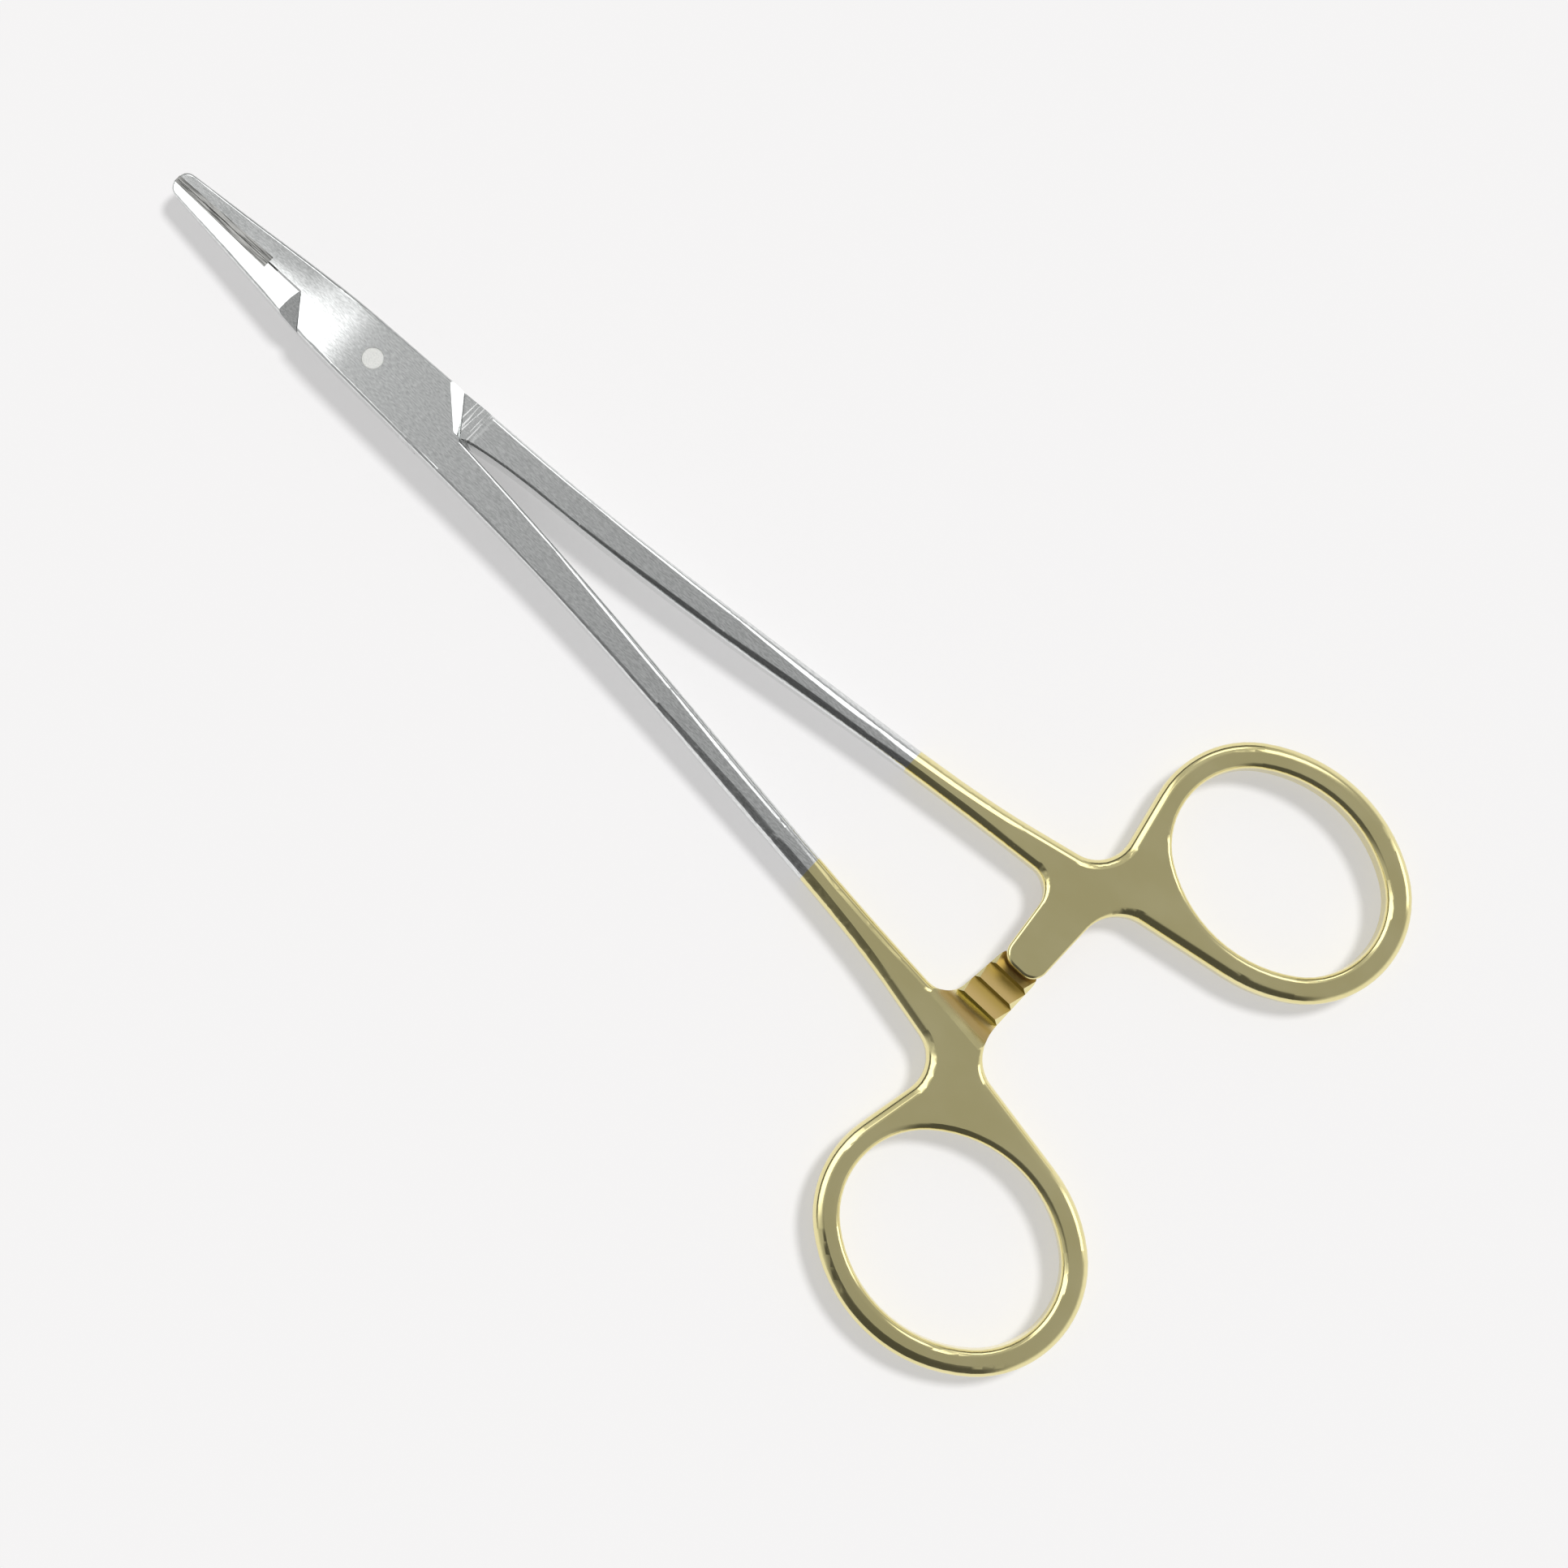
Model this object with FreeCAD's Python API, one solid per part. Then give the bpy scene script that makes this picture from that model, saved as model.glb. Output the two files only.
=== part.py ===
"""Surgical needle holder with a box lock, a three-step ratchet and hard jaw inserts.

Millimetres. The origin is on the pivot axis at the underside of the box lock. +X runs to the jaw tips,
+Y to the finger ring of the female half and +Z up. The part lies flat with its jaws closed.
"""
import os
from math import atan2, cos, pi, radians, sin, sqrt, tan

import FreeCAD, Part
from FreeCAD import Vector

# Box lock
BOX_HEIGHT = 6.0
BOX_HALF_WIDTH = 3.9
BOX_TAPER = 0.035
BOX_FLAT_FRONT = 3.0
BOX_FLAT_REAR = 9.0
SLOT_HEIGHT = 2.5
TENON_PLAY = 0.05
SLOT_FRONT_RADIUS = 11.35
SLOT_REAR_SIDE = 10.1
TENON_EDGE_GAP = 0.2
CHEEK_FRONT_SIDE = 8.4
CHEEK_FRONT_HALF_WIDTH = 3.6
CHEEK_FRONT_MIDDLE = 11.3
CHEEK_REAR_SIDE = 9.9
CHEEK_REAR_MIDDLE = 13.3
CHEEK_BEVEL_SIDE = 1.4
CHEEK_BEVEL_MIDDLE = 0.6
CHEEK_BEVEL_DEPTH = 1.1
SHOULDER_GAP = 0.16
FACET_FRONT_LENGTH = 3.5
FACET_FRONT_RISE = 0.5
FACET_FRONT_DROP = 1.6
FACET_REAR_LENGTH = 4.9
FACET_STEP = 0.3

# Pivot
PIN_DIAMETER = 2.5
PIN_PLAY = 0.03
PIN_CHAMFER = 0.06

# Jaws and their inserts
JAW_REACH = 31.1
JAW_NECK = 12.0
JAW_NECK_HEIGHT = 5.3
JAW_MIDDLE = 20.0
JAW_MIDDLE_HALF_WIDTH = 2.5
JAW_TIP_HALF_WIDTH = 1.6
JAW_TIP_HEIGHT = 3.0
JAW_NOSE = 1.4
JAW_TIP_TAPER = 0.09
JAW_ROOT_SLOPE = 0.02
JAW_TIP_SLOPE = 0.07
JAW_CROWN = 0.45
JAW_RELIEF = 0.12
JAW_PLAY = 0.03
INSERT_LENGTH = 14.75
INSERT_REAR_DEPTH = 0.72
INSERT_TIP_DEPTH = 0.40

# Shanks: distance behind the pivot, middle line's distance from the seam, and width
SHANK_START = 14.0
SHANK_FIRST = 30.0
SHANK_FIRST_OUT = 3.38
SHANK_FIRST_WIDTH = 3.68
SHANK_SECOND = 50.0
SHANK_SECOND_OUT = 5.41
SHANK_SECOND_WIDTH = 3.32
SHANK_THIRD_OUT = 7.76
SHANK_THIRD_WIDTH = 3.20
SHANK_END_AHEAD = 9.6
SHANK_END_OUT = 10.2
SHANK_END_WIDTH = 3.90
CROTCH_GAP = 0.12
FEMALE_CROTCH_SLOPE = 0.07
MALE_CROTCH_SLOPE = 0.25
MALE_CROTCH_RELIEF = 0.4
SHANK_THICKNESS = 5.0
HANDLE_THICKNESS = 4.2

# Finger rings. The male half is a little slimmer behind the lock, and its ring sits further forward.
RING_BACK = 113.8
RING_STAGGER = 0.4
FEMALE_RING_OUT = 27.65
FEMALE_HOLE_LENGTH = 26.4
FEMALE_HOLE_WIDTH = 21.5
MALE_RING_OUT = 26.95
MALE_HOLE_LENGTH = 26.0
MALE_HOLE_WIDTH = 20.1
MALE_SLIMMING = 0.3
RING_END_SHARE = 0.87
RING_BAND = 3.0
RING_BLEND_OUTER_ANGLE = 12.0
RING_BLEND_INNER_ANGLE = 100.0
YOKE_OUTER_RADIUS = 4.2
YOKE_OUTER_SLOPE = 0.215
YOKE_INNER_SLOPE = 0.085

# Ratchet arms
ARM_AHEAD = 14.2
ARM_WIDTH = 4.95
ARM_FLARE = 0.11
ARM_PAST_MIDDLE = 0.95
ARM_TIP_RADIUS = 1.9
ARM_REAR_RADIUS = 4.8
ARM_FRONT_RADIUS = 3.0
ARM_GAP = 0.10
TOOTH_PITCH = 2.35
TOOTH_COUNT = 4
TOOTH_DEPTH = 0.65
TOOTH_FACE = 0.32
TOOTH_SIDE_BEVEL = 0.6
FIRST_TOOTH = 6.5
RAMP_LENGTH = 3.0
RAMP_SKEW = 0.13
RAMP_BULGE = 0.5

# Rounding of the long edges
BOX_ROUND = 0.45
JAW_ROUND = 0.35
SHANK_OUTER_ROUNDS = (0.4, 0.75, 1.3, 1.6)
SHANK_INNER_ROUNDS = (0.4, 0.8, 0.95, 1.0)
CROTCH_ROUND = 0.25
YOKE_ROUND = 1.1
RING_OUTER_ROUND = 1.25
RING_HOLE_ROUND = 0.8
ARM_ROUND = 0.4

MIDDLE = BOX_HEIGHT / 2
ARM_BACK = RING_BACK - ARM_AHEAD
SHANK_END = ARM_BACK - SHANK_END_AHEAD
SHANK_THIRD = (SHANK_SECOND + SHANK_END) / 2

# How far the shapes that cut reach past the metal
OVERRUN = 1.0


def at(x, y, z=0.0):
    """A point from its three places."""
    return Vector(x, y, z)


class Outline:
    """A closed outline seen from above, whose sides know how far their long edges are rounded."""

    def __init__(self):
        self.sides = []
        self.rounds = []

    def add(self, curve, start_round, end_round):
        """Append one curve with the rounding at its two ends."""
        self.sides.append(curve.toShape())
        self.rounds.append((start_round, end_round))

    def line(self, start, end, start_round=0.0, end_round=None):
        """Append a straight side."""
        self.add(Part.LineSegment(start, end), start_round, start_round if end_round is None else end_round)

    def spline(self, points, start_way, end_way, rounds):
        """Append a smooth side through a few points, each with its own rounding of the long edge."""
        curve = Part.BSplineCurve()
        curve.interpolate(Points=points, InitialTangent=start_way, FinalTangent=end_way)
        places = [curve.parameter(point) for point in points]
        for number in range(len(points) - 1):
            self.sides.append(curve.toShape(places[number], places[number + 1]))
            self.rounds.append((rounds[number], rounds[number + 1]))

    def corner(self, start, corner, end, radius, start_round, end_round):
        """Append two straight runs joined by a tangent arc."""
        back = (start - corner).normalize()
        ahead = (end - corner).normalize()
        half = back.getAngle(ahead) / 2
        first = corner + back * (radius / tan(half))
        last = corner + ahead * (radius / tan(half))
        centre = corner + (back + ahead).normalize() * (radius / sin(half))
        nearest = centre + (corner - centre).normalize() * radius
        self.line(start, first, start_round)
        self.add(Part.Arc(first, nearest, last), start_round, end_round)
        self.line(last, end, end_round)

    def wire(self):
        """The closed wire of all sides."""
        return Part.Wire(Part.__sortEdges__(self.sides))

    def round_of(self, edge):
        """The rounding at the two ends of an edge of the blank, from the side that it follows."""
        middle = edge.valueAt((edge.FirstParameter + edge.LastParameter) / 2)
        spot = Part.Vertex(middle.x, middle.y, 0)
        gaps = [side.distToShape(spot)[0] for side in self.sides]
        index = gaps.index(min(gaps))
        side = self.sides[index]
        start_round, end_round = self.rounds[index]
        ends = []
        for parameter in (edge.FirstParameter, edge.LastParameter):
            point = edge.valueAt(parameter)
            place = side.Curve.parameter(at(point.x, point.y))
            share = (place - side.FirstParameter) / (side.LastParameter - side.FirstParameter)
            ends.append(start_round + (end_round - start_round) * share)
        return ends


def box_half_width(x):
    """Half the width of the box lock, which narrows evenly towards the jaws."""
    return BOX_HALF_WIDTH + BOX_TAPER * (BOX_FLAT_FRONT - x)


def crossing(first, first_way, second, second_way):
    """Where two straight lines in the plan meet."""
    turn = first_way.x * second_way.y - first_way.y * second_way.x
    gap = second - first
    run = (gap.x * second_way.y - gap.y * second_way.x) / turn
    return first + first_way * run


def prism(points, bottom, top):
    """A solid with a straight-sided plan between two heights."""
    corners = [at(x, y, bottom) for x, y in points]
    return Part.Face(Part.makePolygon(corners + corners[:1])).extrude(at(0, 0, top - bottom))


def turned_over(shape):
    """The same shape turned by half a turn about the seam line, so left is right and top is bottom."""
    result = shape.copy()
    result.rotate(at(0, 0, MIDDLE), at(1, 0, 0), 180)
    return result


def upside_down(shape):
    """The mirror image of a shape below the middle plane."""
    return shape.mirror(at(0, 0, MIDDLE), at(0, 0, 1))


def side_profile():
    """The thickness from the rings to the box, which is flat, and on at that height past the jaws."""
    tail = RING_BACK + FEMALE_HOLE_LENGTH
    ahead = JAW_REACH + OVERRUN
    half_handle = HANDLE_THICKNESS / 2
    half_shank = SHANK_THICKNESS / 2
    half_box = BOX_HEIGHT / 2
    edges = []
    for side in (1, -1):
        rear = Part.BSplineCurve()
        rear.interpolate(
            Points=[at(-SHANK_END, 0, MIDDLE + side * half_handle),
                    at(-SHANK_SECOND, 0, MIDDLE + side * half_shank),
                    at(-BOX_FLAT_REAR, 0, MIDDLE + side * half_box)],
            InitialTangent=at(1, 0, 0), FinalTangent=at(1, 0, 0))
        edges += [
            Part.LineSegment(at(-tail, 0, MIDDLE + side * half_handle),
                             at(-SHANK_END, 0, MIDDLE + side * half_handle)).toShape(),
            rear.toShape(),
            Part.LineSegment(at(-BOX_FLAT_REAR, 0, MIDDLE + side * half_box),
                             at(ahead, 0, MIDDLE + side * half_box)).toShape(),
        ]
    edges.append(Part.LineSegment(at(-tail, 0, MIDDLE - half_handle), at(-tail, 0, MIDDLE + half_handle)).toShape())
    edges.append(Part.LineSegment(at(ahead, 0, 0), at(ahead, 0, BOX_HEIGHT)).toShape())
    wire = Part.Wire(Part.__sortEdges__(edges))
    reach = FEMALE_RING_OUT + FEMALE_HOLE_WIDTH
    face = Part.Face(wire)
    face.translate(at(0, -reach, 0))
    return face.extrude(at(0, 2 * reach, 0))


def jaw_crown():
    """What is ground off above and below the jaws: they thin towards the tips and fall a little to their sides."""
    high = BOX_HEIGHT + OVERRUN
    ahead = JAW_REACH + OVERRUN
    sections = []
    for side in (-1, 0, 1):
        y = side * (BOX_HALF_WIDTH + OVERRUN)
        drop = abs(side) * JAW_CROWN
        tip = at(JAW_REACH, y, MIDDLE + JAW_TIP_HEIGHT / 2 - drop)
        root = at(BOX_FLAT_FRONT, y, BOX_HEIGHT)
        face = Part.BSplineCurve()
        face.interpolate(Points=[root, at(JAW_NECK, y, MIDDLE + JAW_NECK_HEIGHT / 2 - drop), tip],
                         InitialTangent=at(1, 0, -JAW_ROOT_SLOPE), FinalTangent=at(1, 0, -JAW_TIP_SLOPE))
        corners = [tip, at(ahead, y, tip.z - JAW_TIP_SLOPE * OVERRUN), at(ahead, y, high),
                   at(BOX_FLAT_FRONT, y, high), root]
        sections.append(Part.Wire([face.toShape()] + Part.makePolygon(corners).Edges))
    return both_faces(Part.makeLoft(sections, True, False))


class Handle:
    """What differs between the handles of the two halves: the finger ring and the inner edge of the shank.

    The handle lies on +Y. slimming is taken off the shank's rear, and relief off its inner edge near the lock.
    """

    def __init__(self, ring_back, ring_out, hole_length, hole_width, slimming, relief, crotch_slope):
        self.middle = at(-ring_back, ring_out)
        self.long_half = hole_length / 2
        self.short_half = hole_width / 2
        self.slimming = slimming
        self.relief = relief
        self.crotch_slope = crotch_slope

    def arcs(self, band):
        """The four tangent arcs of the ring's oval, a band's width outside the finger hole.

        They run anticlockwise from the arc on +Y to the arc on +X. The two end arcs lie on -X and +X.
        """
        end_radius = self.short_half * RING_END_SHARE
        end_shift = self.long_half - end_radius
        side_radius = (end_shift ** 2 + self.short_half ** 2 - end_radius ** 2) / (2 * (self.short_half - end_radius))
        side_shift = side_radius - self.short_half
        half_side = atan2(end_shift, side_shift)
        arcs = []
        for quarter in range(4):
            facing = pi / 2 * (quarter + 1)
            on_side = quarter % 2 == 0
            shift = -side_shift if on_side else end_shift
            radius = (side_radius if on_side else end_radius) + band
            half = half_side if on_side else pi / 2 - half_side
            centre = self.middle + at(cos(facing), sin(facing)) * shift
            arcs.append(Part.ArcOfCircle(Part.Circle(centre, at(0, 0, 1), radius), facing - half, facing + half))
        return arcs


def shank_edge(side, handle):
    """Four points on the outer (side 1) or inner (side -1) edge of the shank on +Y, from the lock backwards."""
    stations = ((SHANK_FIRST, SHANK_FIRST_OUT, SHANK_FIRST_WIDTH),
                (SHANK_SECOND, SHANK_SECOND_OUT, SHANK_SECOND_WIDTH),
                (SHANK_THIRD, SHANK_THIRD_OUT, SHANK_THIRD_WIDTH - handle.slimming),
                (SHANK_END, SHANK_END_OUT, SHANK_END_WIDTH - handle.slimming))
    points = [at(-back, out + side * width / 2) for back, out, width in stations]
    if side < 0:
        points[0].y += handle.relief
    return points


def add_handle(outline, handle):
    """Append the inner edge of the shank on +Y, the ratchet arm, the ring and the outer edge."""
    inner = shank_edge(-1, handle)
    outer = shank_edge(1, handle)
    inner_way = at(-1, YOKE_INNER_SLOPE)
    outer_way = at(1, -YOKE_OUTER_SLOPE)
    crotch = at(-CHEEK_REAR_MIDDLE - TENON_EDGE_GAP, CROTCH_GAP)
    rounds = (CROTCH_ROUND,) + SHANK_INNER_ROUNDS
    outline.spline([crotch] + inner, at(-1, handle.crotch_slope), inner_way, rounds)

    arm_front = -ARM_BACK + ARM_WIDTH / 2
    arm_rear = -ARM_BACK - ARM_WIDTH / 2
    tip = -ARM_PAST_MIDDLE
    front_way = at(-ARM_FLARE, -1)
    front_foot = crossing(inner[-1], inner_way, at(arm_front, tip), front_way)
    front_tip = at(arm_front, tip)
    rear_tip = at(arm_rear, tip)
    half_down = (front_foot + front_tip) * 0.5
    outline.corner(inner[-1], front_foot, half_down, ARM_FRONT_RADIUS, SHANK_INNER_ROUNDS[-1], ARM_ROUND)
    half_tip = (front_tip + rear_tip) * 0.5
    outline.corner(half_down, front_tip, half_tip, ARM_TIP_RADIUS, ARM_ROUND, ARM_ROUND)

    ring = handle.arcs(RING_BAND)
    first_arc = ring[-1]
    last_arc = ring[2]
    inner_angle = radians(360 - RING_BLEND_INNER_ANGLE)
    outer_angle = radians(360 - RING_BLEND_OUTER_ANGLE)
    ring_inner = last_arc.value(inner_angle)
    ring_outer = first_arc.value(outer_angle)
    ring_inner_way = last_arc.tangent(inner_angle)[0]
    ring_outer_way = first_arc.tangent(outer_angle)[0]
    rear_foot = crossing(rear_tip, at(0, 1), ring_inner, ring_inner_way)
    half_up = (rear_tip + rear_foot) * 0.25 + rear_tip * 0.5
    outline.corner(half_tip, rear_tip, half_up, ARM_TIP_RADIUS, ARM_ROUND, ARM_ROUND)
    outline.corner(half_up, rear_foot, ring_inner, ARM_REAR_RADIUS, ARM_ROUND, RING_OUTER_ROUND)
    trimmed = (Part.ArcOfCircle(last_arc.Circle, last_arc.FirstParameter, inner_angle), ring[1], ring[0],
               Part.ArcOfCircle(first_arc.Circle, outer_angle, first_arc.LastParameter))
    for arc in trimmed:
        outline.add(arc, RING_OUTER_ROUND, RING_OUTER_ROUND)
    yoke = crossing(ring_outer, ring_outer_way, outer[-1], outer_way)
    rounds = (YOKE_ROUND,) + SHANK_OUTER_ROUNDS[2::-1] + (BOX_ROUND,)
    outline.corner(ring_outer, yoke, outer[-1], YOKE_OUTER_RADIUS, RING_OUTER_ROUND, YOKE_ROUND)
    box_side = at(-SHANK_START, box_half_width(-SHANK_START))
    outline.spline(outer[::-1] + [box_side], outer_way, at(1, -BOX_TAPER), rounds)
    return crotch, box_side


def jaw_side():
    """The outer edge of a jaw on -Y, from the box to the nose."""
    curve = Part.BSplineCurve()
    curve.interpolate(
        Points=[at(BOX_FLAT_FRONT, -BOX_HALF_WIDTH), at(CHEEK_FRONT_SIDE, -CHEEK_FRONT_HALF_WIDTH),
                at(JAW_MIDDLE, -JAW_MIDDLE_HALF_WIDTH), at(JAW_REACH - JAW_NOSE, -JAW_TIP_HALF_WIDTH)],
        InitialTangent=at(1, BOX_TAPER), FinalTangent=at(1, JAW_TIP_TAPER))
    return curve


def side_at_radius(curve, radius):
    """The parameter at which a jaw's outer edge is the given distance from the pivot axis."""
    low = curve.FirstParameter
    high = curve.LastParameter
    while high - low > 1e-9:
        middle = (low + high) / 2
        if curve.value(middle).Length < radius:
            low = middle
        else:
            high = middle
    return low


def half_outline(handle, front_end, rear_end, rear_side):
    """The plan of one half with its shank on +Y and its jaw on -Y.

    front_end adds the edge between the box's +Y side and the jaw. rear_end and rear_side are how far behind
    the pivot the edge on -Y starts at the crotch and ends at the box's side.
    """
    outline = Outline()
    crotch, box_side = add_handle(outline, handle)
    front_side = at(BOX_FLAT_FRONT, BOX_HALF_WIDTH)
    outline.line(box_side, front_side, BOX_ROUND)
    jaw_root = front_end(outline)
    insert_rear = JAW_REACH - INSERT_LENGTH
    step_low = at(insert_rear, -JAW_RELIEF)
    step_high = at(insert_rear, -JAW_PLAY)
    tip = at(JAW_REACH, -JAW_PLAY)
    nose = at(JAW_REACH - JAW_NOSE, -JAW_TIP_HALF_WIDTH)
    outline.line(jaw_root, step_low)
    outline.line(step_low, step_high)
    outline.line(step_high, tip)
    outline.spline([tip, nose], at(0, -1), at(-1, -JAW_TIP_TAPER), [JAW_ROUND, JAW_ROUND])
    outline.add(jaw_side(), BOX_ROUND, JAW_ROUND)
    rear_corner = at(-rear_side, -box_half_width(-rear_side))
    outline.line(at(BOX_FLAT_FRONT, -BOX_HALF_WIDTH), rear_corner, BOX_ROUND)
    rear_middle = at(-rear_end, -CROTCH_GAP)
    outline.line(rear_corner, rear_middle)
    outline.line(rear_middle, crotch)
    return outline


def cheek_front(outline):
    """The straight front edge of the cheeks, from the box's side to the root of the jaw."""
    curve = jaw_side()
    corner = at(CHEEK_FRONT_SIDE, -CHEEK_FRONT_HALF_WIDTH)
    side = curve.toShape(curve.FirstParameter, curve.parameter(corner))
    outline.sides.append(side.mirror(at(0, 0), at(0, 1)))
    outline.rounds.append((BOX_ROUND, BOX_ROUND))
    jaw_root = at(CHEEK_FRONT_MIDDLE, -JAW_RELIEF)
    outline.line(at(CHEEK_FRONT_SIDE, CHEEK_FRONT_HALF_WIDTH), jaw_root)
    return jaw_root


def tenon_front(outline):
    """The front edge of the tenon, an arc about the pivot that turns inside the slot's front wall."""
    radius = SLOT_FRONT_RADIUS - TENON_EDGE_GAP
    curve = jaw_side()
    place = side_at_radius(curve, radius)
    corner = curve.value(place)
    side = curve.toShape(curve.FirstParameter, place)
    outline.sides.append(side.mirror(at(0, 0), at(0, 1)))
    outline.rounds.append((BOX_ROUND, BOX_ROUND))
    jaw_root = at(sqrt(radius ** 2 - JAW_RELIEF ** 2), -JAW_RELIEF)
    corner = at(corner.x, -corner.y)
    outline.add(Part.Arc(corner, at(radius, 0), jaw_root), 0.0, 0.0)
    return jaw_root


def chained(rounds):
    """Put edges in runs that follow each other, with the rounding at each start and end along the run.

    rounds maps an edge's number to the edge and the rounding at the two ends of its curve.
    """
    left = dict(rounds)
    runs = []
    while left:
        number = next(iter(left))
        edge, (first, last) = left.pop(number)
        runs.append((number, first, last))
        for end, onward in ((edge.LastParameter, True), (edge.FirstParameter, False)):
            tip = edge.valueAt(end)
            while tip:
                tip = add_neighbour(left, runs, tip, onward)
    return runs


def add_neighbour(left, runs, tip, onward):
    """Move the edge that touches tip from left to runs, and return its other end, or None."""
    for number, (edge, (first, last)) in left.items():
        start = edge.valueAt(edge.FirstParameter)
        stop = edge.valueAt(edge.LastParameter)
        if tip.isEqual(start, 1e-5):
            runs.append((number, first, last) if onward else (number, last, first))
            far = stop
        elif tip.isEqual(stop, 1e-5):
            runs.append((number, last, first) if onward else (number, first, last))
            far = start
        else:
            continue
        del left[number]
        return far
    return None


def rounded(shape, outline):
    """Round the long edges of a blank as its outline says."""
    rounds = {}
    for number, edge in enumerate(shape.Edges, 1):
        upright = [abs(face.normalAt(*face.Surface.parameter(edge.CenterOfMass)).z) < 0.5
                   for face in shape.ancestorsOfType(edge, Part.Face)]
        ends = outline.round_of(edge)
        if upright.count(True) == 1 and min(ends) > 0:
            rounds[number] = (edge, ends)
    document = FreeCAD.newDocument("rounding")
    base = document.addObject("Part::Feature", "blank")
    base.Shape = shape
    feature = document.addObject("Part::Fillet", "rounds")
    feature.Base = base
    feature.Edges = chained(rounds)
    document.recompute()
    result = feature.Shape.copy()
    FreeCAD.closeDocument(document.Name)
    return result


def blank(outline, handle):
    """The forged blank of a half: its plan, its thickness, its finger hole and its rounded edges."""
    plan = Part.Face(outline.wire())
    hole = handle.arcs(0)
    for arc in hole:
        outline.add(arc, RING_HOLE_ROUND, RING_HOLE_ROUND)
    solid = plan.extrude(at(0, 0, BOX_HEIGHT))
    solid = solid.cut(Part.Face(Part.Wire([arc.toShape() for arc in hole])).extrude(at(0, 0, BOX_HEIGHT)))
    solid = solid.common(side_profile()).cut(jaw_crown())
    return rounded(solid, outline)


def beyond_plane(first, second, third, toward):
    """All that lies beyond the plane through three points, on the side of a fourth, as a large block."""
    normal = (second - first).cross(third - first).normalize()
    if normal.dot(toward - first) < 0:
        normal = normal * -1
    along = (second - first).normalize()
    across = normal.cross(along)
    reach = 4 * BOX_HEIGHT
    corners = [first + along * (u * reach) + across * (v * reach) for u, v in ((-1, -1), (1, -1), (1, 1), (-1, 1))]
    return Part.Face(Part.makePolygon(corners + corners[:1])).extrude(normal * reach)


def both_faces(shape):
    """A cut for the upper face together with its mirror image for the lower face."""
    return shape.fuse(upside_down(shape))


def slot():
    """The space between the cheeks: round about the pivot at the front, straight at the rear."""
    bottom = MIDDLE - SLOT_HEIGHT / 2
    top = MIDDLE + SLOT_HEIGHT / 2
    radius = SLOT_FRONT_RADIUS
    front = Part.makeCylinder(radius, SLOT_HEIGHT, at(0, 0, bottom))
    wall_middle = at(-CHEEK_REAR_MIDDLE - TENON_EDGE_GAP, -CROTCH_GAP)
    wall_side = at(-SLOT_REAR_SIDE, box_half_width(-SLOT_REAR_SIDE))
    wall_far = crossing(wall_middle, wall_side - wall_middle, at(0, radius), at(1, 0))
    open_rear = -CHEEK_REAR_MIDDLE - OVERRUN
    plan = [(0, radius), (wall_far.x, radius), (wall_middle.x, wall_middle.y), (open_rear, wall_middle.y),
            (open_rear, -radius), (0, -radius)]
    # The round part would reach into the solid rear wall, so only its front half is used.
    front = front.common(prism([(0, -radius), (radius, -radius), (radius, radius), (0, radius)], bottom, top))
    return front.fuse(prism(plan, bottom, top)).removeSplitter()


def cheek_bevels():
    """The slanting ends of the cheeks behind the pivot, above and below."""
    top = MIDDLE + SLOT_HEIGHT / 2
    corner = at(-CHEEK_REAR_SIDE, -box_half_width(-CHEEK_REAR_SIDE), BOX_HEIGHT)
    middle = at(-CHEEK_REAR_MIDDLE, -CROTCH_GAP, BOX_HEIGHT)
    inward = (middle - corner).normalize().cross(at(0, 0, 1))
    foot = corner - at(0, 0, CHEEK_BEVEL_DEPTH)
    outside = beyond_plane(foot, corner + inward * CHEEK_BEVEL_SIDE, middle + inward * CHEEK_BEVEL_MIDDLE,
                           corner - inward)
    reach = BOX_HALF_WIDTH * 2
    room = prism([(-2 * CHEEK_REAR_MIDDLE, -reach), (-CHEEK_REAR_SIDE / 2, -reach),
                  (-CHEEK_REAR_SIDE / 2, -CROTCH_GAP), (-2 * CHEEK_REAR_MIDDLE, -CROTCH_GAP)], top, BOX_HEIGHT + OVERRUN)
    return both_faces(outside.common(room))


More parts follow.
